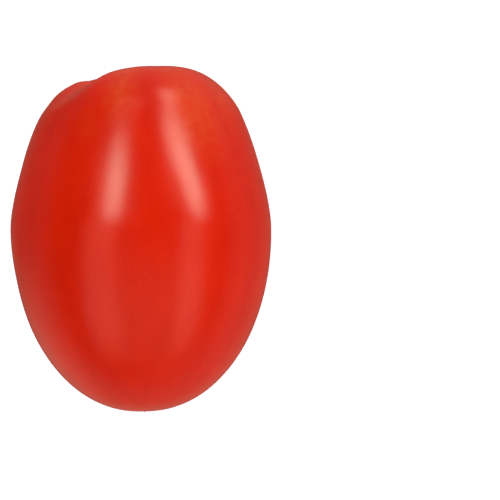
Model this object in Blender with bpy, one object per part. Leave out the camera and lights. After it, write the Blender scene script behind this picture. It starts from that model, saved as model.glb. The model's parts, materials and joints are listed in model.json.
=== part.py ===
"""A plum tomato lying on its side: one grown fruit, closed all round, resting on a small flat spot.

Metres, +Z up. The stem axis runs along Y with the stem end towards +Y. The origin is at the bottom centre of
the fruit's box. Angles go round the stem axis, from +X (0) through the top, +Z (90), to -X (180).
"""

import math

import bmesh
import bpy
from mathutils import Matrix

MM = 0.001

# The round body: radii from the stem axis, heights along it from the widest place.
BELLY_RADIUS = 28.15 * MM
CREST_RADIUS = 8.6 * MM
CREST_HEIGHT = 34.6 * MM
SHOULDER_RADIUS = 21.85 * MM
SHOULDER_HEIGHT = 25.0 * MM
SHOULDER_LEAN = math.radians(24.5)
DIP_HEIGHT = 30.4 * MM
BLOSSOM_HEIGHT = -39.65 * MM

# How far each stretch of the outline keeps its direction before it turns.
DIP_FLAT = 3.4 * MM
DIP_LIP = 4.6 * MM
CREST_FLAT = 7.0 * MM
SHOULDER_ABOVE = 3.5 * MM
SHOULDER_BELOW = 6.0 * MM
BELLY_ABOVE = 6.8 * MM
BELLY_BELOW = 20.4 * MM
BLOSSOM_FLAT = 18.0 * MM

# The left shoulder is lower than the others and its crest stands further out.
LOW_SIDE_ANGLE = 188
LOW_SIDE_WIDTH = 87
LOW_SIDE_POWER = 3
LOW_SIDE_DROP = 1.75 * MM
LOW_SIDE_START = 8.0 * MM
LOW_SIDE_FULL = 33.0 * MM
LEFT_LOBE_ANGLE = 196
LEFT_LOBE_WIDTH = 50
LEFT_LOBE_POWER = 4
LEFT_LOBE_DROP = 0.65 * MM
LEFT_LOBE_OUT = 2.45 * MM
LEFT_LOBE_CREST = 9.0 * MM
LEFT_LOBE_REACH = 5.5 * MM
LEFT_LOBE_START = 20.0 * MM
LEFT_LOBE_FULL = 32.0 * MM

# Furrows between the lobes: angle and half width in degrees, depth into the side, depth into the crest, and
# the height where the furrow has faded out.
FURROWS = (
    (63, 16, 0.2 * MM, 0.1 * MM, 2.0 * MM),
    (144, 17, 0.7 * MM, 1.75 * MM, 14.0 * MM),
    (228, 14, 0.9 * MM, 0.6 * MM, 6.0 * MM),
    (318, 14, 0.8 * MM, 0.6 * MM, 6.0 * MM),
)
FURROW_FULL_SIDE = 31.0 * MM
FURROW_CREST_START = 22.0 * MM

# Lobes and furrows die away towards the middle of the stem dip as this power of the radius.
DIP_CENTRE_POWER = 1.5

# The scar where the stem came off, and the scar at the blossom end.
STEM_RING_RADIUS = 3.2 * MM
STEM_RING_WIDTH = 0.6 * MM
STEM_RING_RISE = 0.3 * MM
STEM_STUB_RADIUS = 0.9 * MM
STEM_STUB_RISE = 0.5 * MM
BLOSSOM_DIMPLE_RADIUS = 2.6 * MM
BLOSSOM_DIMPLE_DEPTH = 0.4 * MM
BLOSSOM_DOT_RADIUS = 0.8 * MM
BLOSSOM_DOT_RISE = 0.3 * MM

# The way it grew and lies: the stem axis leans a little, and the underside is pressed flat.
STEM_LEAN = math.radians(0.95)
FLAT_SPOT_DEPTH = 0.4 * MM

# Fineness of the mesh: segments round the axis, steps along each stretch of the outline, and how close two
# points are when they count as one.
SEGMENTS = 60
DIP_STEPS = 12
UPPER_STEPS = 9
SIDE_STEPS = 6
LOWER_STEPS = 16
SAME_POINT = 0.001 * MM

SKIN_COLOUR = (0.70, 0.012, 0.003, 1.0)
SKIN_ROUGHNESS = 0.3


def clear_scene():
    for item in list(bpy.data.objects):
        bpy.data.objects.remove(item, do_unlink=True)


def curve_points(start, start_handle, end_handle, end, steps):
    """Points of one Bezier stretch as (radius, height), without its last point."""
    points = []
    for step in range(steps):
        t = step / steps
        weights = ((1 - t) ** 3, 3 * (1 - t) ** 2 * t, 3 * (1 - t) * t * t, t**3)
        corners = (start, start_handle, end_handle, end)
        radius = sum(w * corner[0] for w, corner in zip(weights, corners))
        height = sum(w * corner[1] for w, corner in zip(weights, corners))
        points.append((radius, height))
    return points


def body_outline():
    """Half of the lengthwise section, from the middle of the stem dip over the crest to the blossom end."""
    dip = (0, DIP_HEIGHT)
    crest = (CREST_RADIUS, CREST_HEIGHT)
    shoulder = (SHOULDER_RADIUS, SHOULDER_HEIGHT)
    belly = (BELLY_RADIUS, 0)
    blossom = (0, BLOSSOM_HEIGHT)
    out = math.sin(SHOULDER_LEAN)
    up = math.cos(SHOULDER_LEAN)
    above = (shoulder[0] - SHOULDER_ABOVE * out, shoulder[1] + SHOULDER_ABOVE * up)
    below = (shoulder[0] + SHOULDER_BELOW * out, shoulder[1] - SHOULDER_BELOW * up)
    outline = curve_points(dip, (DIP_FLAT, dip[1]), (crest[0] - DIP_LIP, crest[1]), crest, DIP_STEPS)
    outline += curve_points(crest, (crest[0] + CREST_FLAT, crest[1]), above, shoulder, UPPER_STEPS)
    outline += curve_points(shoulder, below, (belly[0], BELLY_ABOVE), belly, SIDE_STEPS)
    outline += curve_points(belly, (belly[0], -BELLY_BELOW), (BLOSSOM_FLAT, blossom[1]), blossom, LOWER_STEPS)
    outline.append(blossom)
    return outline


def fade(value, start, end):
    """0 before start, 1 after end, and a smooth step between them."""
    t = min(max((value - start) / (end - start), 0.0), 1.0)
    return t * t * (3 - 2 * t)


def bump(distance, width, power=2):
    """1 at distance 0, falling away over the given width; a higher power gives a flatter top."""
    return math.exp(-(abs(distance / width) ** power))


def turn_between(angle, centre):
    """Degrees from centre to angle, the short way round."""
    return (angle - centre + 180) % 360 - 180


def grown_form(radius, height, angle):
    """Radius and height of a point of the round body once the lobes, furrows and scars are grown on it."""
    off_axis = min(radius / CREST_RADIUS, 1.0) ** DIP_CENTRE_POWER
    low_side = bump(turn_between(angle, LOW_SIDE_ANGLE), LOW_SIDE_WIDTH, LOW_SIDE_POWER)
    left_lobe = bump(turn_between(angle, LEFT_LOBE_ANGLE), LEFT_LOBE_WIDTH, LEFT_LOBE_POWER)
    lobe_crest = bump(radius - LEFT_LOBE_CREST, LEFT_LOBE_REACH) * off_axis
    lobe_crest *= fade(height, LEFT_LOBE_START, LEFT_LOBE_FULL)
    out = LEFT_LOBE_OUT * left_lobe * lobe_crest
    down = LOW_SIDE_DROP * low_side * fade(height, LOW_SIDE_START, LOW_SIDE_FULL) * off_axis
    down += LEFT_LOBE_DROP * left_lobe * lobe_crest
    for centre, width, side_depth, crest_depth, faded_height in FURROWS:
        furrow = bump(turn_between(angle, centre), width) * off_axis
        out -= side_depth * furrow * fade(height, faded_height, FURROW_FULL_SIDE)
        down += crest_depth * furrow * fade(height, FURROW_CREST_START, CREST_HEIGHT)
    if height > 0:
        down -= STEM_RING_RISE * bump(radius - STEM_RING_RADIUS, STEM_RING_WIDTH)
        down -= STEM_STUB_RISE * bump(radius, STEM_STUB_RADIUS)
    else:
        down -= BLOSSOM_DIMPLE_DEPTH * bump(radius, BLOSSOM_DIMPLE_RADIUS)
        down += BLOSSOM_DOT_RISE * bump(radius, BLOSSOM_DOT_RADIUS)
    return radius + out, height - down


def spin_body(mesh):
    """The outline turned once round the stem axis, with its ends merged into single points."""
    corners = [mesh.verts.new((radius, height, 0)) for radius, height in body_outline()]
    edges = [mesh.edges.new(pair) for pair in zip(corners, corners[1:])]
    bmesh.ops.spin(
        mesh,
        geom=corners + edges,
        cent=(0, 0, 0),
        axis=(0, 1, 0),
        angle=math.tau,
        steps=SEGMENTS,
        use_merge=True,
    )
    bmesh.ops.remove_doubles(mesh, verts=mesh.verts, dist=SAME_POINT)


def grow_lobes(mesh):
    """Each point moved along its own radius and height by the grown form."""
    for vertex in mesh.verts:
        x, height, z = vertex.co
        angle = math.atan2(z, x)
        radius, height = grown_form(math.hypot(x, z), height, math.degrees(angle))
        vertex.co = (radius * math.cos(angle), height, radius * math.sin(angle))


def press_flat_spot(mesh):
    """The lowest part of the underside cut away level, and the cut closed by one flat face."""
    level = -(BELLY_RADIUS - FLAT_SPOT_DEPTH)
    cut = bmesh.ops.bisect_plane(
        mesh,
        geom=mesh.verts[:] + mesh.edges[:] + mesh.faces[:],
        plane_co=(0, 0, level),
        plane_no=(0, 0, -1),
        clear_outer=True,
    )
    rim = [item for item in cut["geom_cut"] if isinstance(item, bmesh.types.BMEdge)]
    bmesh.ops.contextual_create(mesh, geom=rim)


def set_origin(mesh):
    """The mesh moved so that the origin is at the bottom centre of its box."""
    low = [min(vertex.co[axis] for vertex in mesh.verts) for axis in range(3)]
    high = [max(vertex.co[axis] for vertex in mesh.verts) for axis in range(3)]
    centre = (-(low[0] + high[0]) / 2, -(low[1] + high[1]) / 2, -low[2])
    bmesh.ops.translate(mesh, vec=centre, verts=mesh.verts)


def skin_material():
    """Ripe red skin, smooth and a little waxy."""
    material = bpy.data.materials.new("ripe_tomato_skin")
    material.use_nodes = True
    shader = material.node_tree.nodes["Principled BSDF"]
    shader.inputs["Base Color"].default_value = SKIN_COLOUR
    shader.inputs["Roughness"].default_value = SKIN_ROUGHNESS
    shader.inputs["Metallic"].default_value = 0.0
    return material


def make_tomato():
    mesh = bmesh.new()
    spin_body(mesh)
    grow_lobes(mesh)
    bmesh.ops.rotate(mesh, cent=(0, 0, 0), matrix=Matrix.Rotation(STEM_LEAN, 3, "Z"), verts=mesh.verts)
    press_flat_spot(mesh)
    set_origin(mesh)
    bmesh.ops.recalc_face_normals(mesh, faces=mesh.faces)
    data = bpy.data.meshes.new("tomato")
    mesh.to_mesh(data)
    mesh.free()
    data.shade_smooth()
    data.materials.append(skin_material())
    tomato = bpy.data.objects.new("tomato", data)
    bpy.context.scene.collection.objects.link(tomato)


clear_scene()
make_tomato()
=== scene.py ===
# %% [markdown]
# # A ripe plum tomato, lying on its side
# The fruit is one grown piece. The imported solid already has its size, its lobes and its flat resting spot,
# so it is loaded first as a fixed frame. The looks are then built around it in fine meshes: the skin, the
# corky scar in the stem dip, the stub of the stalk and the small scar at the blossom end.

# %% Load the solid as a fixed frame
import json
import math

import bpy
import numpy as np
from mathutils import Matrix, Vector, noise

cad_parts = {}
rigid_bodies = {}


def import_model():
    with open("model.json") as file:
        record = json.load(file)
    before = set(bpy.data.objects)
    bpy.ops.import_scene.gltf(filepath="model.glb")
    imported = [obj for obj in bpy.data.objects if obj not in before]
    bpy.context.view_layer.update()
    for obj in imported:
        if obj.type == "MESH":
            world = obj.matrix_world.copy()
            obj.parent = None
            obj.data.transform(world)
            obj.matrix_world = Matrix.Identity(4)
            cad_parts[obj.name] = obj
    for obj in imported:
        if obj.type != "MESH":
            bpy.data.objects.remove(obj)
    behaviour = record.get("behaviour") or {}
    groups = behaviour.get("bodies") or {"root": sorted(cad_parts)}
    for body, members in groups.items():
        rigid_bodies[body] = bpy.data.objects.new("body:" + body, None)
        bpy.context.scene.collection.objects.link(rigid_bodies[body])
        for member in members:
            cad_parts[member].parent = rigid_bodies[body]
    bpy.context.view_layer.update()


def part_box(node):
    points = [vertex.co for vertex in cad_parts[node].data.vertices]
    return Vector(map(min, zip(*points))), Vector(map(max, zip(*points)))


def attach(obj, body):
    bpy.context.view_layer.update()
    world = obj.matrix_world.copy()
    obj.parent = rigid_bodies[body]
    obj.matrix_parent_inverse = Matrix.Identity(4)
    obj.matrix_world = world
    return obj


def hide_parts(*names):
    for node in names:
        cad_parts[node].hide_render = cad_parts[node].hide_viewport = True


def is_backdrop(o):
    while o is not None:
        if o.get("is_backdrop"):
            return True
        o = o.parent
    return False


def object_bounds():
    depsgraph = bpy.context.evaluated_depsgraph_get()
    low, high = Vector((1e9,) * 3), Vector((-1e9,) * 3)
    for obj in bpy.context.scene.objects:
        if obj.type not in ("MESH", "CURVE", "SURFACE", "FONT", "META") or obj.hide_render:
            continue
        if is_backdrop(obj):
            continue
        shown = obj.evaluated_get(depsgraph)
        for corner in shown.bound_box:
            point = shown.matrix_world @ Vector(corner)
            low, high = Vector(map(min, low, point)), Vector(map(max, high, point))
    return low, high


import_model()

fruit_low, fruit_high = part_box("tomato")
MM = 0.001
print("the solid measures", [round(side / MM, 1) for side in fruit_high - fruit_low], "mm")

# %% [markdown]
# ## The round body
# Half of the lengthwise section is drawn first: up out of the stem dip, over the crest of the shoulder,
# down the side to the widest place, and round to the blossom end. It could be a list of many points, but a
# real fruit has one smooth line there, so it is a Bezier curve with a knot only where the shape changes its
# mind. Heights run along the stem axis, +Y, from the widest place, and radii are measured from that axis.

# %% Sizes of the round body
BELLY_RADIUS = 28.15 * MM
CREST_RADIUS = 8.6 * MM
CREST_HEIGHT = 34.6 * MM
SHOULDER_RADIUS = 21.85 * MM
SHOULDER_HEIGHT = 25.0 * MM
SHOULDER_LEAN = math.radians(24.5)
DIP_HEIGHT = 30.4 * MM
BLOSSOM_HEIGHT = -39.65 * MM

# How far each stretch of the outline keeps its direction before it turns.
DIP_FLAT = 3.4 * MM
DIP_LIP = 4.6 * MM
CREST_FLAT = 7.0 * MM
SHOULDER_ABOVE = 3.5 * MM
SHOULDER_BELOW = 6.0 * MM
BELLY_ABOVE = 6.8 * MM
BELLY_BELOW = 20.4 * MM
BLOSSOM_FLAT = 18.0 * MM

# Fineness of the skin's mesh, and how close two points are when they count as one.
STEPS_PER_STRETCH = 44
SEGMENTS = 288
SAME_POINT = 0.001 * MM

# Each knot: its place, the handle before it and the handle after it, as (radius, height).
lean_out = math.sin(SHOULDER_LEAN)
lean_up = math.cos(SHOULDER_LEAN)
KNOTS = (
    ((0, DIP_HEIGHT), (0, DIP_HEIGHT), (DIP_FLAT, DIP_HEIGHT)),
    (
        (CREST_RADIUS, CREST_HEIGHT),
        (CREST_RADIUS - DIP_LIP, CREST_HEIGHT),
        (CREST_RADIUS + CREST_FLAT, CREST_HEIGHT),
    ),
    (
        (SHOULDER_RADIUS, SHOULDER_HEIGHT),
        (SHOULDER_RADIUS - SHOULDER_ABOVE * lean_out, SHOULDER_HEIGHT + SHOULDER_ABOVE * lean_up),
        (SHOULDER_RADIUS + SHOULDER_BELOW * lean_out, SHOULDER_HEIGHT - SHOULDER_BELOW * lean_up),
    ),
    ((BELLY_RADIUS, 0), (BELLY_RADIUS, BELLY_ABOVE), (BELLY_RADIUS, -BELLY_BELOW)),
    ((0, BLOSSOM_HEIGHT), (BLOSSOM_FLAT, BLOSSOM_HEIGHT), (0, BLOSSOM_HEIGHT)),
)

# %% Helpers for modelling by hand
def deselect_all():
    if bpy.context.object and bpy.context.object.mode != "OBJECT":
        bpy.ops.object.mode_set(mode="OBJECT")
    bpy.ops.object.select_all(action="DESELECT")


def take_up(piece):
    """Selects one piece alone and makes it the active one."""
    deselect_all()
    piece.select_set(True)
    bpy.context.view_layer.objects.active = piece


def close_and_face_out(piece):
    """Merges points that lie on each other, and turns the faces outwards."""
    take_up(piece)
    bpy.ops.object.mode_set(mode="EDIT")
    bpy.ops.mesh.select_all(action="SELECT")
    bpy.ops.mesh.remove_doubles(threshold=SAME_POINT)
    bpy.ops.mesh.normals_make_consistent(inside=False)
    bpy.ops.object.mode_set(mode="OBJECT")


def points_of(piece):
    points = np.empty(len(piece.data.vertices) * 3)
    piece.data.vertices.foreach_get("co", points)
    return points.reshape(-1, 3)


def move_points(piece, points):
    piece.data.vertices.foreach_set("co", points.ravel())
    piece.data.update()


# %% Draw the outline and turn it into the round body
deselect_all()
bpy.ops.curve.primitive_bezier_curve_add(location=(0, 0, 0))
outline = bpy.context.object
bpy.ops.object.mode_set(mode="EDIT")
bpy.ops.curve.select_all(action="SELECT")
bpy.ops.curve.subdivide(number_cuts=len(KNOTS) - 2)
bpy.ops.object.mode_set(mode="OBJECT")
outline.data.splines[0].resolution_u = STEPS_PER_STRETCH
for knot, (place, before, after) in zip(outline.data.splines[0].bezier_points, KNOTS):
    knot.handle_left_type = "FREE"
    knot.handle_right_type = "FREE"
    knot.co = (*place, 0)
    knot.handle_left = (*before, 0)
    knot.handle_right = (*after, 0)
bpy.ops.object.convert(target="MESH")
skin = bpy.context.object
skin.name = "tomato_skin"
skin.data.name = "tomato_skin"
outline_points = points_of(skin)[:, :2].copy()

bpy.ops.object.mode_set(mode="EDIT")
bpy.ops.mesh.select_all(action="SELECT")
bpy.ops.mesh.spin(steps=SEGMENTS, angle=math.tau, center=(0, 0, 0), axis=(0, 1, 0))
bpy.ops.object.mode_set(mode="OBJECT")
close_and_face_out(skin)
print("round body:", len(skin.data.polygons), "faces")

# %% [markdown]
# ## Lobes and furrows
# A plum tomato grows in chambers, and each chamber swells into a lobe at the shoulder. Here the left
# shoulder sits lower than the others, and a furrow runs down from the crest between each pair of lobes.
# These could be sculpted, but a formula keeps them smooth and even: every point keeps its angle round the
# stem axis, and its radius and height are changed a little. Angles start at +X, on the right, and pass +Z,
# the top, at 90 degrees.

# %% Sizes of the lobes, furrows and scars
LOW_SIDE_ANGLE = 188
LOW_SIDE_WIDTH = 87
LOW_SIDE_POWER = 3
LOW_SIDE_DROP = 1.75 * MM
LOW_SIDE_START = 8.0 * MM
LOW_SIDE_FULL = 33.0 * MM
LEFT_LOBE_ANGLE = 196
LEFT_LOBE_WIDTH = 50
LEFT_LOBE_POWER = 4
LEFT_LOBE_DROP = 0.65 * MM
LEFT_LOBE_OUT = 2.45 * MM
LEFT_LOBE_CREST = 9.0 * MM
LEFT_LOBE_REACH = 5.5 * MM
LEFT_LOBE_START = 20.0 * MM
LEFT_LOBE_FULL = 32.0 * MM

# Angle and half width in degrees, depth into the side, depth into the crest, and the height where it has
# faded out.
FURROWS = (
    (63, 16, 0.2 * MM, 0.1 * MM, 2.0 * MM),
    (144, 17, 0.35 * MM, 1.75 * MM, 20.0 * MM),
    (228, 14, 0.9 * MM, 0.6 * MM, 6.0 * MM),
    (318, 14, 0.8 * MM, 0.6 * MM, 6.0 * MM),
)
FURROW_FULL_SIDE = 31.0 * MM
FURROW_CREST_START = 25.0 * MM

# Lobes and furrows die away towards the middle of the stem dip as this power of the radius.
DIP_CENTRE_POWER = 1.5

# The raised scars at the two ends, the lean of the stem axis, and how deep the flat spot is pressed.
STEM_RING_RADIUS = 3.2 * MM
STEM_RING_WIDTH = 0.6 * MM
STEM_RING_RISE = 0.3 * MM
STEM_STUB_RADIUS = 0.9 * MM
STEM_STUB_RISE = 0.5 * MM
BLOSSOM_DIMPLE_RADIUS = 2.6 * MM
BLOSSOM_DIMPLE_DEPTH = 0.4 * MM
BLOSSOM_DOT_RADIUS = 0.8 * MM
BLOSSOM_DOT_RISE = 0.3 * MM
STEM_LEAN = math.radians(0.95)
FLAT_SPOT_DEPTH = 0.4 * MM


# %% The grown form, as a rule for any point of the round body
def fade(value, start, end):
    """0 before start, 1 after end, and a smooth step between them."""
    t = np.clip((value - start) / (end - start), 0, 1)
    return t * t * (3 - 2 * t)


def bump(distance, width, power=2):
    """1 at distance 0, falling away over the given width; a higher power gives a flatter top."""
    return np.exp(-(np.abs(distance / width) ** power))


def turn_between(angle, centre):
    """Degrees from centre to angle, the short way round."""
    return (angle - centre + 180) % 360 - 180


def grown_form(radius, height, angle):
    """Radius and height of points of the round body once the lobes, furrows and scars are grown on it."""
    off_axis = np.minimum(radius / CREST_RADIUS, 1) ** DIP_CENTRE_POWER
    low_side = bump(turn_between(angle, LOW_SIDE_ANGLE), LOW_SIDE_WIDTH, LOW_SIDE_POWER)
    left_lobe = bump(turn_between(angle, LEFT_LOBE_ANGLE), LEFT_LOBE_WIDTH, LEFT_LOBE_POWER)
    lobe_crest = bump(radius - LEFT_LOBE_CREST, LEFT_LOBE_REACH) * off_axis
    lobe_crest = lobe_crest * fade(height, LEFT_LOBE_START, LEFT_LOBE_FULL)
    out = LEFT_LOBE_OUT * left_lobe * lobe_crest
    down = LOW_SIDE_DROP * low_side * fade(height, LOW_SIDE_START, LOW_SIDE_FULL) * off_axis
    down = down + LEFT_LOBE_DROP * left_lobe * lobe_crest
    for centre, width, side_depth, crest_depth, faded_height in FURROWS:
        furrow = bump(turn_between(angle, centre), width) * off_axis
        out = out - side_depth * furrow * fade(height, faded_height, FURROW_FULL_SIDE)
        down = down + crest_depth * furrow * fade(height, FURROW_CREST_START, CREST_HEIGHT)
    stem_scar = STEM_RING_RISE * bump(radius - STEM_RING_RADIUS, STEM_RING_WIDTH)
    stem_scar = stem_scar + STEM_STUB_RISE * bump(radius, STEM_STUB_RADIUS)
    blossom_scar = BLOSSOM_DIMPLE_DEPTH * bump(radius, BLOSSOM_DIMPLE_RADIUS)
    blossom_scar = blossom_scar - BLOSSOM_DOT_RISE * bump(radius, BLOSSOM_DOT_RADIUS)
    return radius + out, height - down + np.where(height > 0, stem_scar, blossom_scar)


# %% Grow the lobes on the round body
points = points_of(skin)
radii = np.hypot(points[:, 0], points[:, 2])
turns = np.degrees(np.arctan2(points[:, 2], points[:, 0]))
first_heights = points[:, 1].copy()
first_radii = radii.copy()
grown_radii, grown_heights = grown_form(radii, first_heights, turns)
points[:, 0] = grown_radii * np.cos(np.radians(turns))
points[:, 1] = grown_heights
points[:, 2] = grown_radii * np.sin(np.radians(turns))
print("furrows:", len(FURROWS), "deepest", max(row[2] for row in FURROWS) / MM, "mm into the side")

# %% [markdown]
# ## Unevenness of the skin
# No grown skin is as true as a turned one. It swells and sinks by a few hundredths of a millimetre over the
# veins and chambers under it, which is what breaks up the edge of a reflection. Long low swells run down
# the fruit, with smaller ones on them. It could be a bump map, but the reflections and the outline then
# disagree, so the points themselves move. The left side, which shows most of its outline, has four low
# forms of its own. Fine creases run down into the stem dip, where the skin was drawn in round the stalk.

# %% Swells and creases
SWELL_DEPTH = 0.09 * MM
SWELL_ACROSS = 9.0 * MM
SWELL_ALONG = 20.0 * MM
RIPPLE_DEPTH = 0.018 * MM
RIPPLE_ACROSS = 3.0 * MM
RIPPLE_ALONG = 6.0 * MM
CREASE_COUNT = 34
CREASE_DEPTH = 0.07 * MM
CREASE_WANDER = 3
CREASE_RADIUS = 0.75 * CREST_RADIUS
CREASE_REACH = 0.4 * CREST_RADIUS

# Low swells and hollows of the left side: angle, height, half width in degrees, half length, and rise.
LEFT_SIDE_FORMS = (
    (190, 33.6 * MM, 30, 0.9 * MM, -0.45 * MM),
    (190, 30.8 * MM, 30, 1.8 * MM, 0.32 * MM),
    (186, 12.0 * MM, 38, 6.5 * MM, -0.33 * MM),
    (186, -11.5 * MM, 38, 6.5 * MM, -0.15 * MM),
)


def swell(point, across, along):
    """Smooth noise from -1 to 1, longer along the stem axis than across it."""
    return noise.noise(Vector((point[0] / across, point[1] / along, point[2] / across)))


drift = np.array([swell(p, SWELL_ACROSS, SWELL_ALONG) for p in points]) * SWELL_DEPTH
drift += np.array([swell(p, RIPPLE_ACROSS, RIPPLE_ALONG) for p in points]) * RIPPLE_DEPTH
for angle, height, width, length, rise in LEFT_SIDE_FORMS:
    drift += rise * bump(turn_between(turns, angle), width) * bump(first_heights - height, length)
wander = np.array([swell(p, RIPPLE_ACROSS, SWELL_ALONG) for p in points])
in_the_dip = bump(first_radii - CREASE_RADIUS, CREASE_REACH) * (first_heights > 0)
creases = np.cos(np.radians(turns) * CREASE_COUNT + wander * CREASE_WANDER) * CREASE_DEPTH * in_the_dip
slope_out = np.stack([np.cos(np.radians(turns)), np.zeros(len(points)), np.sin(np.radians(turns))], axis=1)
off_ends = fade(first_radii, 0, CREST_RADIUS)
points += slope_out * ((drift + creases) * off_ends)[:, None]
print("swells move the skin by up to", round(float(np.abs(drift).max()) / MM, 3), "mm")

# %% [markdown]
# ## Lying down
# The stem axis leans a little, and the weight of the fruit presses a small spot of its underside flat. A
# sharp cut would leave an edge that no fruit has, so the last few tenths of a millimetre bend into the
# flat. The mesh is then moved so that its box stands where the solid's box stands.

# %% Press the flat spot and set the fruit in the frame
PRESS_SOFTNESS = 0.16 * MM


def lean(points):
    return points @ np.array(Matrix.Rotation(STEM_LEAN, 3, "Z")).T


def press(heights, level):
    """Heights kept above the level, bending into it over the softness either side."""
    over = heights - level
    bend = np.clip((over + PRESS_SOFTNESS) / (2 * PRESS_SOFTNESS), 0, 1)
    return level + np.where(over < PRESS_SOFTNESS, bend * bend * PRESS_SOFTNESS, over)


floor_level = FLAT_SPOT_DEPTH - BELLY_RADIUS
points = lean(points)
points[:, 2] = press(points[:, 2], floor_level)
low, high = points.min(axis=0), points.max(axis=0)
belly_centre = Vector(
    (
        (fruit_low.x + fruit_high.x) / 2 - (low[0] + high[0]) / 2,
        (fruit_low.y + fruit_high.y) / 2 - (low[1] + high[1]) / 2,
        fruit_low.z - floor_level,
    )
)
points += np.array(belly_centre)
move_points(skin, points)
skin.data.shade_smooth()
print("the middle of the belly is at", [round(value / MM, 2) for value in belly_centre], "mm")

# %% [markdown]
# ## What the skin remembers
# A pattern on a fruit follows its growth: streaks run from the stem to the blossom end, and the shoulders
# ripen last. Each point keeps three things for the material: where it is on a grid that follows the growth,
# how late it ripened, and how far it was in the shade of the five green sepals that stood round the stalk.

# %% Store the growth grid, the ripening and the sepals' shade
GRID_RADIUS = 20.0 * MM
GRID_CLOSING = 9.0 * MM
SEPAL_COUNT = 5
SEPAL_LENGTH = 6.6 * MM
SEPAL_TWIST = 20
SEPAL_SHADE = 0.7

# How far the shade reaches between two sepals, and how far it is full, as shares of its reach along a sepal.
SEPAL_GAP_REACH = 0.45
SEPAL_FULL_REACH = 0.35

# Late patches on the shoulders: angle, height, half width in degrees, half length, and strength.
LATE_PATCHES = (
    (98, 28.5 * MM, 10, 6.0 * MM, 0.9),
    (56, 24.0 * MM, 15, 9.0 * MM, 1.0),
    (114, 22.0 * MM, 9, 5.0 * MM, 0.35),
    (30, 27.0 * MM, 14, 6.0 * MM, 0.5),
    (250, 28.0 * MM, 22, 6.0 * MM, 0.7),
    (300, 26.0 * MM, 18, 8.0 * MM, 0.6),
)


def store(piece, name, kind, values):
    attribute = piece.data.attributes.new(name, kind, "POINT")
    key = "vector" if kind == "FLOAT_VECTOR" else "value"
    attribute.data.foreach_set(key, np.asarray(values, np.float32).ravel())


# The grid keeps its width over most of the fruit and closes at both ends, so streaks don't crowd into spokes.
grid = slope_out * (GRID_RADIUS * np.tanh(first_radii / GRID_CLOSING))[:, None]
grid[:, 1] = first_heights
store(skin, "growth_grid", "FLOAT_VECTOR", grid)

late = np.zeros(len(points))
for angle, height, width, length, strength in LATE_PATCHES:
    patch = bump(turn_between(turns, angle), width) * bump(first_heights - height, length)
    late = np.maximum(late, strength * patch)
store(skin, "late_ripening", "FLOAT", late)

star = np.abs(np.cos(np.radians(turns + SEPAL_TWIST) * SEPAL_COUNT / 2))
sepal_reach = SEPAL_LENGTH * (SEPAL_GAP_REACH + (1 - SEPAL_GAP_REACH) * star**2)
in_the_open = fade(first_radii, sepal_reach * SEPAL_FULL_REACH, sepal_reach)
shade = SEPAL_SHADE * (1 - in_the_open) * (first_heights > 0)
store(skin, "sepal_shade", "FLOAT", shade)
print("late patches:", len(LATE_PATCHES), "and", SEPAL_COUNT, "sepals")

# %% [markdown]
# ## Materials
# Colours are written as sRGB hex values, as a colour picker shows them, and Blender mixes light in linear
# values, so one function turns the first into the second. Another adds a node with its settings and its
# links, so that each material below reads as a recipe.

# %% Helpers for materials
def linear(hex_colour):
    """An sRGB hex colour as a linear RGBA value."""
    channels = [int(hex_colour[i : i + 2], 16) / 255 for i in (0, 2, 4)]
    return [c / 12.92 if c <= 0.04045 else ((c + 0.055) / 1.055) ** 2.4 for c in channels] + [1.0]


def node(tree, kind, inputs=None, **settings):
    """Adds a node. An input is a value, or a socket to link from; a setting is one of the node's properties."""
    made = tree.nodes.new(kind)
    for name, value in settings.items():
        setattr(made, name, value)
    for name, value in (inputs or {}).items():
        if isinstance(value, bpy.types.NodeSocket):
            tree.links.new(value, made.inputs[name])
        else:
            made.inputs[name].default_value = value
    return made


def new_material(name):
    """A material with an empty Principled shader, and its node tree."""
    material = bpy.data.materials.new(name)
    material.use_nodes = True
    return material, material.node_tree, material.node_tree.nodes["Principled BSDF"]


def scale_for(size):
    """The scale of a noise whose blotches are about this size across, in metres."""
    return 1 / size


# %% [markdown]
# ## Ripe skin
# Tomato skin is a clear, waxy cuticle over red flesh. The cuticle is smooth and gives a soft, bright
# reflection, like a satin varnish. The flesh under it lets light in a millimetre or two, and its red comes
# from lycopene, with paler, more orange streaks where the shoulder ripened late. Close up the skin is
# finely speckled, with dots of about a tenth of a millimetre. Those are drawn half a millimetre apart, as
# coarse as they need to be to show.

# %% Colours and sizes of the ripe skin
RIPE_RED = "E82302"
DEEP_RED = "E01E02"
LATE_ORANGE = "E8431B"
SPECKLE_ORANGE = "EE4214"
SEPAL_SHADE_OCHRE = "D98A3C"
CUTICLE_IOR = 1.5
STREAK_ACROSS = 5.0 * MM
STREAK_ALONG = 0.3
MOTTLE_SIZE = 1.6 * MM
SPECKLE_SIZE = 0.5 * MM
FLESH_LIGHT_REACH = 1.5 * MM
PEEL_DEPTH = 0.01 * MM

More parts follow.
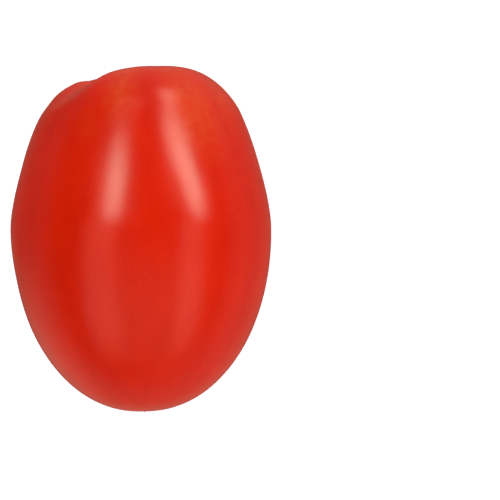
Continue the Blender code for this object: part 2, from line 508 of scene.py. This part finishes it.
# %% Patterns of the ripe skin
skin_material, tree, shader = new_material("ripe_tomato_skin")
growth = node(tree, "ShaderNodeAttribute", attribute_name="growth_grid")
late_value = node(tree, "ShaderNodeAttribute", attribute_name="late_ripening")
sepal_value = node(tree, "ShaderNodeAttribute", attribute_name="sepal_shade")
stretched = node(
    tree, "ShaderNodeMapping", {"Vector": growth.outputs["Vector"], "Scale": (1, STREAK_ALONG, 1)}
)
streaks = node(
    tree,
    "ShaderNodeTexNoise",
    {
        "Vector": stretched.outputs["Vector"],
        "Scale": scale_for(STREAK_ACROSS),
        "Detail": 3.0,
        "Roughness": 0.55,
    },
)
mottle = node(
    tree,
    "ShaderNodeTexNoise",
    {"Vector": growth.outputs["Vector"], "Scale": scale_for(MOTTLE_SIZE), "Detail": 3.0, "Roughness": 0.6},
)
speckles = node(
    tree,
    "ShaderNodeTexVoronoi",
    {"Vector": growth.outputs["Vector"], "Scale": scale_for(SPECKLE_SIZE), "Randomness": 1.0},
    feature="F1",
)
print("patterns on the skin:", STREAK_ACROSS / MM, MOTTLE_SIZE / MM, SPECKLE_SIZE / MM, "mm")

# %% Colour of the ripe skin
streak_share = node(
    tree,
    "ShaderNodeMapRange",
    {"Value": streaks.outputs["Fac"], "From Min": 0.35, "From Max": 0.65, "To Min": 0.0, "To Max": 1.0},
)
flesh = node(
    tree,
    "ShaderNodeMix",
    {"Factor": streak_share.outputs["Result"], "A": linear(RIPE_RED), "B": linear(DEEP_RED)},
    data_type="RGBA",
)
late_edge = node(
    tree,
    "ShaderNodeMath",
    {0: late_value.outputs["Fac"], 1: mottle.outputs["Fac"]},
    operation="MULTIPLY",
)
late_share = node(
    tree,
    "ShaderNodeMapRange",
    {"Value": late_edge.outputs["Value"], "From Min": 0.05, "From Max": 0.5, "To Min": 0.0, "To Max": 1.0},
)
with_late = node(
    tree,
    "ShaderNodeMix",
    {"Factor": late_share.outputs["Result"], "A": flesh.outputs["Result"], "B": linear(LATE_ORANGE)},
    data_type="RGBA",
)
dots = node(
    tree,
    "ShaderNodeMapRange",
    {"Value": speckles.outputs["Distance"], "From Min": 0.12, "From Max": 0.36, "To Min": 0.3, "To Max": 0.0},
)
with_dots = node(
    tree,
    "ShaderNodeMix",
    {"Factor": dots.outputs["Result"], "A": with_late.outputs["Result"], "B": linear(SPECKLE_ORANGE)},
    data_type="RGBA",
)
shaded = node(
    tree,
    "ShaderNodeMix",
    {"Factor": sepal_value.outputs["Fac"], "A": with_dots.outputs["Result"], "B": linear(SEPAL_SHADE_OCHRE)},
    data_type="RGBA",
)

# %% Gloss of the ripe skin
gloss = node(
    tree,
    "ShaderNodeMapRange",
    {"Value": mottle.outputs["Fac"], "From Min": 0.3, "From Max": 0.7, "To Min": 0.21, "To Max": 0.26},
)
orange_peel = node(
    tree,
    "ShaderNodeBump",
    {"Height": speckles.outputs["Distance"], "Strength": 0.08, "Distance": PEEL_DEPTH},
)
tree.links.new(shaded.outputs["Result"], shader.inputs["Base Color"])
tree.links.new(gloss.outputs["Result"], shader.inputs["Roughness"])
tree.links.new(orange_peel.outputs["Normal"], shader.inputs["Normal"])
shader.inputs["IOR"].default_value = CUTICLE_IOR
shader.inputs["Subsurface Weight"].default_value = 0.15
shader.inputs["Subsurface Radius"].default_value = (1.0, 0.15, 0.08)
shader.inputs["Subsurface Scale"].default_value = FLESH_LIGHT_REACH
skin.data.materials.append(skin_material)
print("skin material has", len(tree.nodes), "nodes")

# %% Put the skin in the frame
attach(skin, "root")
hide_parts("tomato")

# %% [markdown]
# ## Scars at the two ends
# Where the stalk broke off, the fruit closed itself with a thin disc of cork. Its edge is ragged, cracks
# run out from its middle, and it follows the skin of the dip. At the other end the withered flower left a
# much smaller scar of the same kind. A flat disc would stand clear of the skin somewhere, so each scar
# starts as a sphere: its upper half becomes the face of the cork and its lower half goes just under the
# skin, and both are laid on the same grown form as the skin.

# %% Helpers for pieces laid on the skin
STEM_END = 1
BLOSSOM_END = -1


def on_skin(end, radius, angle, lift):
    """Points on the grown skin near one end, at a radius and angle round the axis, lifted off the skin."""
    from_the_end = outline_points if end == STEM_END else outline_points[::-1]
    stretch = from_the_end[: STEPS_PER_STRETCH + 1]
    height = np.interp(radius, stretch[:, 0], stretch[:, 1])
    radius, height = grown_form(radius, height, angle)
    turn = np.radians(angle)
    points = np.stack([radius * np.cos(turn), height + end * lift, radius * np.sin(turn)], axis=1)
    return lean(points) + belly_centre


def grain(points, size):
    """Smooth noise from -1 to 1 at some points, its blotches about this size across."""
    return np.array([noise.noise(Vector(point) / size) for point in points])


# %% Helper for a cork scar
# How deep its edge strays, as a share of its radius, and how wide those bays are on a circle of radius 1.
LARGE_BAYS = (0.07, 0.3)
SMALL_BAYS = (0.05, 0.09)
VEIN_BUNDLES = 5
VEIN_BULGE = 0.03
CRACK_WIDTH = 0.022
RIM_PLACE = 0.86
RIM_WIDTH = 0.09


def cork_scar(name, end, size, thickness, sink, cracks, tip_rise):
    """A ragged disc of cork laid on the skin, with radial cracks and a raised tip in its middle."""
    deselect_all()
    bpy.ops.mesh.primitive_uv_sphere_add(segments=240, ring_count=48, radius=size)
    scar = bpy.context.object
    scar.name = name
    scar.data.name = name
    points = points_of(scar)
    share = np.minimum(np.hypot(points[:, 0], points[:, 1]) / size, 1)
    turn = np.arctan2(points[:, 1], points[:, 0])
    circle = np.stack([np.cos(turn), np.sin(turn), np.full(len(turn), end)], axis=1)
    ragged = 1 + LARGE_BAYS[0] * grain(circle, LARGE_BAYS[1]) + SMALL_BAYS[0] * grain(circle, SMALL_BAYS[1])
    ragged = ragged + VEIN_BULGE * np.cos(VEIN_BUNDLES * turn)
    radius = size * ragged * share

    # A crack is a groove along one spoke that wanders a little and begins some way out from the middle.
    groove = np.zeros(len(points))
    for crack in range(cracks):
        uneven = math.sin(crack * 2.4)
        spoke = math.tau * (crack + 0.35 * uneven) / cracks
        aside = radius * np.sin(turn - spoke - 0.12 * np.sin(share * 5 + crack))
        ahead = np.cos(turn - spoke) > 0
        begins = 0.3 + 0.15 * math.cos(crack * 1.7)
        line = bump(aside, size * (CRACK_WIDTH + 0.008 * uneven)) * fade(share, begins, begins + 0.15) * ahead
        groove = np.maximum(groove, line * (1 - fade(share, 0.9, 1.0)))

    flat = np.stack([radius * np.cos(turn), np.zeros(len(turn)), radius * np.sin(turn)], axis=1)
    lumps = 0.75 + 0.3 * grain(flat, size * 0.3) + 0.14 * grain(flat, size * 0.1)
    rim = 1 + 0.5 * bump(share - RIM_PLACE, RIM_WIDTH)
    face = thickness * np.sqrt(np.maximum(1 - share**6, 0)) * lumps * rim * (1 - 0.85 * groove)
    face = face + tip_rise * bump(radius, size * 0.16)
    lift = np.where(points[:, 2] >= 0, face, -sink * np.sqrt(np.maximum(1 - share**2, 0)))
    move_points(scar, on_skin(end, radius, np.degrees(turn), lift))
    store(scar, "crack", "FLOAT", groove)
    store(scar, "way_out", "FLOAT", share)
    close_and_face_out(scar)
    scar.data.shade_smooth()
    return scar


# %% Cork disc and blossom scar
CORK_RADIUS = 3.1 * MM
CORK_THICKNESS = 0.24 * MM
BLOSSOM_SCAR_RADIUS = 0.75 * MM
BLOSSOM_SCAR_THICKNESS = 0.1 * MM
WITHERED_TIP_RISE = 0.25 * MM
SCAR_SINK = 0.2 * MM

stem_scar = cork_scar(
    "stem_scar", STEM_END, CORK_RADIUS, CORK_THICKNESS, SCAR_SINK, cracks=15, tip_rise=0
)
blossom_scar = cork_scar(
    "blossom_scar",
    BLOSSOM_END,
    BLOSSOM_SCAR_RADIUS,
    BLOSSOM_SCAR_THICKNESS,
    SCAR_SINK,
    cracks=7,
    tip_rise=WITHERED_TIP_RISE,
)
print("scars:", [len(piece.data.polygons) for piece in (stem_scar, blossom_scar)], "faces")

# %% [markdown]
# ## Stub of the stalk
# In the middle of the cork stands what is left of the stalk: a short stump of woody fibres, torn off
# unevenly. A cone without its point is the start. Its top is inset and pressed in where the soft pith dried
# out, it is cut finer, and its points are then moved so that the fibres show as ridges down its side and as
# teeth along its torn rim.

# %% Model the stub
STUB_FOOT_RADIUS = 1.25 * MM
STUB_TOP_RADIUS = 0.85 * MM
STUB_RISE = 0.75 * MM
STUB_SINK = 0.35 * MM
STUB_FIBRES = 17

# Each inset of the top and how deep it presses in, in millimetres.
PITH_INSETS = ((0.12, 0.0), (0.14, 0.16), (0.14, 0.08), (0.14, 0.02), (0.14, 0.0))

deselect_all()
bpy.ops.mesh.primitive_cone_add(
    vertices=102,
    radius1=STUB_FOOT_RADIUS,
    radius2=STUB_TOP_RADIUS,
    depth=STUB_RISE + STUB_SINK,
    end_fill_type="NGON",
    location=(0, 0, (STUB_RISE - STUB_SINK) / 2),
)
stub = bpy.context.object
stub.name = "stalk_stub"
stub.data.name = "stalk_stub"
bpy.ops.object.transform_apply(location=True, rotation=True, scale=True)
bpy.ops.object.mode_set(mode="EDIT")
bpy.ops.mesh.select_all(action="DESELECT")
bpy.ops.object.mode_set(mode="OBJECT")
for face in stub.data.polygons:
    face.select = face.normal.z > 0.9
bpy.ops.object.mode_set(mode="EDIT")
for inset, press_in in PITH_INSETS:
    bpy.ops.mesh.inset(thickness=inset * MM, depth=-press_in * MM)
bpy.ops.mesh.poke()
bpy.ops.mesh.select_all(action="DESELECT")
bpy.ops.object.mode_set(mode="OBJECT")
for edge in stub.data.edges:
    ends = [stub.data.vertices[index].co for index in edge.vertices]
    edge.select = abs(ends[0].z - ends[1].z) > 0.5 * STUB_RISE
bpy.ops.object.mode_set(mode="EDIT")
bpy.ops.mesh.subdivide(number_cuts=10)
bpy.ops.object.mode_set(mode="OBJECT")
print("cut finer, the stub has", len(stub.data.vertices), "points")

# %% Raise the stub's fibres and lay it on the cork
FIBRE_RIDGE = 0.07
FIBRE_TEETH = 0.16

points = points_of(stub)
radius = np.hypot(points[:, 0], points[:, 1])
turn = np.arctan2(points[:, 1], points[:, 0])
circle = np.stack([np.cos(turn), np.sin(turn), np.zeros(len(turn))], axis=1)
fibre = 0.5 + 0.5 * np.cos(STUB_FIBRES * turn + 2.5 * grain(circle, 0.8))
side = fade(radius, 0.55 * STUB_TOP_RADIUS, STUB_TOP_RADIUS)
radius = radius * (1 + side * (FIBRE_RIDGE * fibre + 0.1 * grain(circle, 0.5) - 0.04))
torn = fade(points[:, 2], 0.3 * STUB_RISE, STUB_RISE) * side
lift = points[:, 2] + torn * (FIBRE_TEETH * fibre + 0.3 * grain(circle, 0.35) - 0.12) * MM
move_points(stub, on_skin(STEM_END, radius, np.degrees(turn), lift))
store(stub, "fibre", "FLOAT", fibre)
store(stub, "torn", "FLOAT", torn)
close_and_face_out(stub)
stub.data.shade_smooth()
print("stub:", len(stub.data.polygons), "faces")

# %% [markdown]
# ## Dry tissue
# Cork is dead cells full of air: matt, tan, and darker along its cracks, partly from the older layers they open
# onto and partly as painted shade down in the cracks. The stub is woody, paler and a little green inside, and
# brown where it tore and dried. All three pieces get a fine grain of a sixth to a third of a millimetre, and
# one function makes them, because only the colours and the grain differ.

# %% Helper for dry tissue
PIT_DEPTH = 0.05 * MM
CORK_IOR = 1.45


def dry_tissue(piece, name, pale, dark, deep, deep_attribute, grain_size, roughness):
    """Matt plant tissue mottled between two colours, and a third where an attribute of the piece is high."""
    material, tree, shader = new_material(name)
    place = node(tree, "ShaderNodeTexCoord").outputs["Object"]
    deep_value = node(tree, "ShaderNodeAttribute", attribute_name=deep_attribute)
    blotches = node(
        tree,
        "ShaderNodeTexNoise",
        {"Vector": place, "Scale": scale_for(grain_size * 3), "Detail": 4.0, "Roughness": 0.6},
    )
    grains = node(
        tree, "ShaderNodeTexVoronoi", {"Vector": place, "Scale": scale_for(grain_size)}, feature="F1"
    )
    blotch_share = node(
        tree, "ShaderNodeMapRange", {"Value": blotches.outputs["Fac"], "From Min": 0.35, "From Max": 0.65}
    )
    mottled = node(
        tree,
        "ShaderNodeMix",
        {"Factor": blotch_share.outputs["Result"], "A": linear(pale), "B": linear(dark)},
        data_type="RGBA",
    )
    pits = node(
        tree,
        "ShaderNodeMapRange",
        {
            "Value": grains.outputs["Distance"],
            "From Min": 0.25,
            "From Max": 0.75,
            "To Min": 0.0,
            "To Max": 0.35,
        },
    )
    pitted = node(
        tree,
        "ShaderNodeMix",
        {"Factor": pits.outputs["Result"], "A": mottled.outputs["Result"], "B": linear(deep)},
        data_type="RGBA",
    )
    # The deep colour goes on at full strength where the attribute is high. In the cork's cracks it is partly
    # older layers and partly painted shade.
    cracked = node(
        tree,
        "ShaderNodeMix",
        {"Factor": deep_value.outputs["Fac"], "A": pitted.outputs["Result"], "B": linear(deep)},
        data_type="RGBA",
    )
    rough = node(
        tree,
        "ShaderNodeMapRange",
        {
            "Value": blotches.outputs["Fac"],
            "From Min": 0.3,
            "From Max": 0.7,
            "To Min": roughness,
            "To Max": roughness + 0.12,
        },
    )
    relief = node(
        tree, "ShaderNodeBump", {"Height": grains.outputs["Distance"], "Strength": 0.5, "Distance": PIT_DEPTH}
    )
    tree.links.new(cracked.outputs["Result"], shader.inputs["Base Color"])
    tree.links.new(rough.outputs["Result"], shader.inputs["Roughness"])
    tree.links.new(relief.outputs["Normal"], shader.inputs["Normal"])
    shader.inputs["IOR"].default_value = CORK_IOR
    piece.data.materials.append(material)


# %% Dry tissue materials
# The cork's deep colour fills its crack grooves: partly older layers, partly painted shade.
dry_tissue(stem_scar, "tomato_scar_cork", "B98A57", "8A5A33", "4A2B17", "crack", 0.32 * MM, 0.78)
dry_tissue(blossom_scar, "blossom_scar_cork", "B98755", "8A5B34", "55351F", "crack", 0.16 * MM, 0.75)
dry_tissue(stub, "torn_stalk_wood", "A79A5B", "7D7A3E", "8A6037", "torn", 0.2 * MM, 0.7)
for piece in (stem_scar, blossom_scar, stub):
    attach(piece, "root")
print("dry tissue on", [piece.name for piece in (stem_scar, blossom_scar, stub)])

# %% [markdown]
# ## Floor and light
# The fruit lies on a plain pale surface, lit like a product picture: two tall softboxes above the stem end,
# one to the left and one to the right, give the two long reflections. A picture of a glossy thing is often
# lit in two layers, because what shines best in the skin is seldom what lights its colour evenly. So dim
# boxes that carry the reflections on towards the blossom end are seen only in the gloss, and three broad
# fills light only the colour. All places are given as seen from the fruit. The paper glows a little, so
# that it stays white.

# %% Floor and wall
FLOOR_SIDE = 4.0
FLOOR_WHITE = "DADAE4"
GLOW_COLOUR = "E2F6FF"
FLOOR_GLOW = 0.76
WALL_DISTANCE = 0.9
WALL_HEIGHT = 3.0

deselect_all()
bpy.ops.mesh.primitive_plane_add(size=FLOOR_SIDE, location=(0, 0, fruit_low.z))
floor = bpy.context.object
floor.name = "floor"
floor_material, tree, shader = new_material("pale_paper_backdrop")
shader.inputs["Base Color"].default_value = linear(FLOOR_WHITE)
shader.inputs["Emission Color"].default_value = linear(GLOW_COLOUR)
shader.inputs["Emission Strength"].default_value = FLOOR_GLOW
shader.inputs["Roughness"].default_value = 0.9
shader.inputs["Specular IOR Level"].default_value = 0.1
floor.data.materials.append(floor_material)
floor.visible_glossy = False
floor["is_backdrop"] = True

# The wall closes the view from low down. It lights nothing and is not reflected.
deselect_all()
bpy.ops.mesh.primitive_cylinder_add(
    vertices=128,
    radius=WALL_DISTANCE,
    depth=WALL_HEIGHT,
    end_fill_type="NOTHING",
    location=(0, 0, fruit_low.z + WALL_HEIGHT / 2),
)
wall = bpy.context.object
wall.name = "wall"
wall_material, tree, shader = new_material("pale_paper_wall")
shader.inputs["Base Color"].default_value = linear(FLOOR_WHITE)
shader.inputs["Emission Color"].default_value = (1, 1, 1, 1)
shader.inputs["Emission Strength"].default_value = 1.0
shader.inputs["Roughness"].default_value = 0.9
wall.data.materials.append(wall_material)
wall.visible_glossy = False
wall.visible_diffuse = False
wall.visible_shadow = False
wall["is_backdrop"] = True
print("floor", FLOOR_SIDE, "m across, wall", WALL_DISTANCE, "m away")

# %% Places of the softboxes
LIGHT_DISTANCE = 1.4
WARM_WHITE = "FFF2D9"

# Name, degrees across, degrees of the low and the high end, half width in degrees and brightness, and for
# some the lean and the softness. The first kind is seen only as a reflection in the skin, and the second
# only lights its colour.
REFLECTION_ONLY = (
    ("softbox_right_top", 60, 42, 82, 6.0, 4.4, -34, (0.2, 0.25, 0.6)),
    ("softbox_left_low", -38, -70, 10, 20, 0.85, -14, (0.5, 0.1, 0.6)),
    ("softbox_right_low", 52, -66, 12, 15, 0.95, 10, (0.5, 0.1, 0.6)),
    ("softbox_top", -18, 44, 76, 18, 0.65),
)
MATT_FILLS = (
    ("fill_from_the_left", -18, 0, 46, 15, 1.7),
    ("fill_from_the_stem_end", 8, 45, 89, 30, 1.0),
    ("fill_from_the_blossom_end", 14, -85, -5, 45, 1.52),
)

# %% Helper for a softbox
def softbox(name, across, low_end, high_end, half_width, brightness, lean=0, soft=(0.3, 0.3, 0.5)):
    """A rectangular light as seen from the fruit: degrees right of straight up, and degrees to the stem end.

    It fades over these shares of its size: at its low end, at its high end, and at each side.
    """
    tilt = math.radians((low_end + high_end) / 2)
    side = math.radians(across)
    towards = Vector((math.sin(side) * math.cos(tilt), math.sin(tilt), math.cos(side) * math.cos(tilt)))
    right = Vector((0, 1, 0)).cross(towards).normalized()
    right = Matrix.Rotation(math.radians(lean), 3, towards) @ right
    up = towards.cross(right)
    bpy.ops.object.light_add(type="AREA", location=belly_centre + towards * LIGHT_DISTANCE)
    light = bpy.context.object
    light.name = name
    light.rotation_mode = "QUATERNION"
    light.rotation_quaternion = Matrix((right, up, towards)).transposed().to_quaternion()
    light.data.shape = "RECTANGLE"
    light.data.size = 2 * LIGHT_DISTANCE * math.tan(math.radians(half_width))
    light.data.size_y = 2 * LIGHT_DISTANCE * math.tan(math.radians((high_end - low_end) / 2))
    light.data.energy = brightness * math.pi * light.data.size * light.data.size_y
    light.data.color = linear(WARM_WHITE)[:3]
    light.data.use_nodes = True
    tree = light.data.node_tree
    place = node(tree, "ShaderNodeNewGeometry")
    place = node(tree, "ShaderNodeSeparateXYZ", {"Vector": place.outputs["Parametric"]})
    from_low, from_high, from_sides = soft
    low_fade = node(
        tree,
        "ShaderNodeMapRange",
        {"Value": place.outputs["Y"], "From Min": 0.0, "From Max": from_low},
        interpolation_type="SMOOTHSTEP",
    )
    high_fade = node(
        tree,
        "ShaderNodeMapRange",
        {"Value": place.outputs["Y"], "From Min": 1.0, "From Max": 1.0 - from_high},
        interpolation_type="SMOOTHSTEP",
    )
    off_middle = node(
        tree, "ShaderNodeMath", {0: place.outputs["X"], 1: 2.0, 2: -1.0}, operation="MULTIPLY_ADD"
    )
    off_middle = node(tree, "ShaderNodeMath", {0: off_middle.outputs["Value"]}, operation="ABSOLUTE")
    side_fade = node(
        tree,
        "ShaderNodeMapRange",
        {"Value": off_middle.outputs["Value"], "From Min": 1.0, "From Max": 1.0 - from_sides},
        interpolation_type="SMOOTHSTEP",
    )
    ends = node(
        tree,
        "ShaderNodeMath",
        {0: low_fade.outputs["Result"], 1: high_fade.outputs["Result"]},
        operation="MULTIPLY",
    )
    strength = node(
        tree,
        "ShaderNodeMath",
        {0: ends.outputs["Value"], 1: side_fade.outputs["Result"]},
        operation="MULTIPLY",
    )
    tree.links.new(strength.outputs["Value"], tree.nodes["Emission"].inputs["Strength"])
    return light


# %% Light the fruit
softbox("softbox_left", -22, 0, 46, 9, 7.6, lean=-6, soft=(0.5, 0.38, 0.5))
softbox("softbox_right", 50, 2, 52, 7.5, 9.4, lean=22, soft=(0.45, 0.3, 0.55))
for row in REFLECTION_ONLY:
    softbox(*row).visible_diffuse = False
for row in MATT_FILLS:
    softbox(*row).visible_glossy = False

# %% [markdown]
# ## The dark room and its pale cards
# A glossy thing shows the room that it is in. In a bright room the whole skin would turn pink, so the room
# is nearly black, and pale cards stand low down at the stem end, at the blossom end and at the lower left.
# They draw the thin light rims that part the fruit from the floor. The cards are painted on the world as
# soft ramps along its axes.

# %% Dark room with pale cards
ROOM_GLOW = 0.012
CARD_CREAM = "FFE9CC"

# Brightness of each card, and the stretches of X, Y and Z over which it comes in.
CARDS = (
    (0.28, (("Y", 0.3, 0.75), ("X", -0.55, -0.2), ("Z", 0.4, -0.4))),
    (0.17, (("Y", -0.05, -0.5), ("Z", 0.1, -0.4))),
    (0.3, (("X", -0.25, -0.65), ("Y", -0.08, -0.35), ("Z", 0.0, -0.5))),
    (0.13, (("Z", -0.45, -0.85),)),
    (0.07, (("X", 0.1, 0.9), ("Z", 0.1, -0.2))),
)

world = bpy.data.worlds.new("studio")
bpy.context.scene.world = world
world.use_nodes = True
tree = world.node_tree
direction = node(tree, "ShaderNodeTexCoord")
parts = node(tree, "ShaderNodeSeparateXYZ", {"Vector": direction.outputs["Generated"]})
glow = node(tree, "ShaderNodeMath", {0: ROOM_GLOW, 1: 0.0}, operation="ADD")
for card_brightness, ramps in CARDS:
    card = node(tree, "ShaderNodeMath", {0: card_brightness, 1: 1.0}, operation="MULTIPLY")
    for axis, start, end in ramps:
        ramp = node(
            tree, "ShaderNodeMapRange", {"Value": parts.outputs[axis], "From Min": start, "From Max": end}
        )
        shares = {0: card.outputs["Value"], 1: ramp.outputs["Result"]}
        card = node(tree, "ShaderNodeMath", shares, operation="MULTIPLY")
    glow = node(tree, "ShaderNodeMath", {0: glow.outputs["Value"], 1: card.outputs["Value"]}, operation="ADD")
tree.links.new(glow.outputs["Value"], tree.nodes["Background"].inputs["Strength"])
tree.nodes["Background"].inputs["Color"].default_value = linear(CARD_CREAM)
print("pale cards:", len(CARDS))

# Colours come out as they are mixed, with no film curve over them.
bpy.context.scene.view_settings.view_transform = "Standard"

# %% [markdown]
# ## Camera
# The camera looks straight down, because the fruit was seen side on with its stem end up, and here it lies
# down with its stem end towards +Y. A long lens from about a third of a metre keeps its shape true. The
# fruit stands to the left of the middle of the picture.

# %% Camera
VIEW_WIDTH = 108.5 * MM
VIEW_RIGHT = 23.55 * MM
VIEW_BELOW = 4.61 * MM
LENS = 120
SENSOR = 36

camera_height = VIEW_WIDTH * LENS / SENSOR
camera_place = belly_centre + Vector((VIEW_RIGHT, -VIEW_BELOW, camera_height))
bpy.ops.object.camera_add(location=camera_place, rotation=(0, 0, 0))
camera = bpy.context.object
camera.name = "camera"
camera.data.sensor_width = SENSOR
camera.data.lens = LENS
camera.data.clip_start = 0.01
camera.data.clip_end = 10
bpy.context.scene.camera = camera
print("camera", round(camera_height / MM), "mm above the middle of the fruit")

# %% Check the size and finish
low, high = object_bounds()
print("dressed", [round(v / MM, 2) for v in (*low, *high)], "mm")
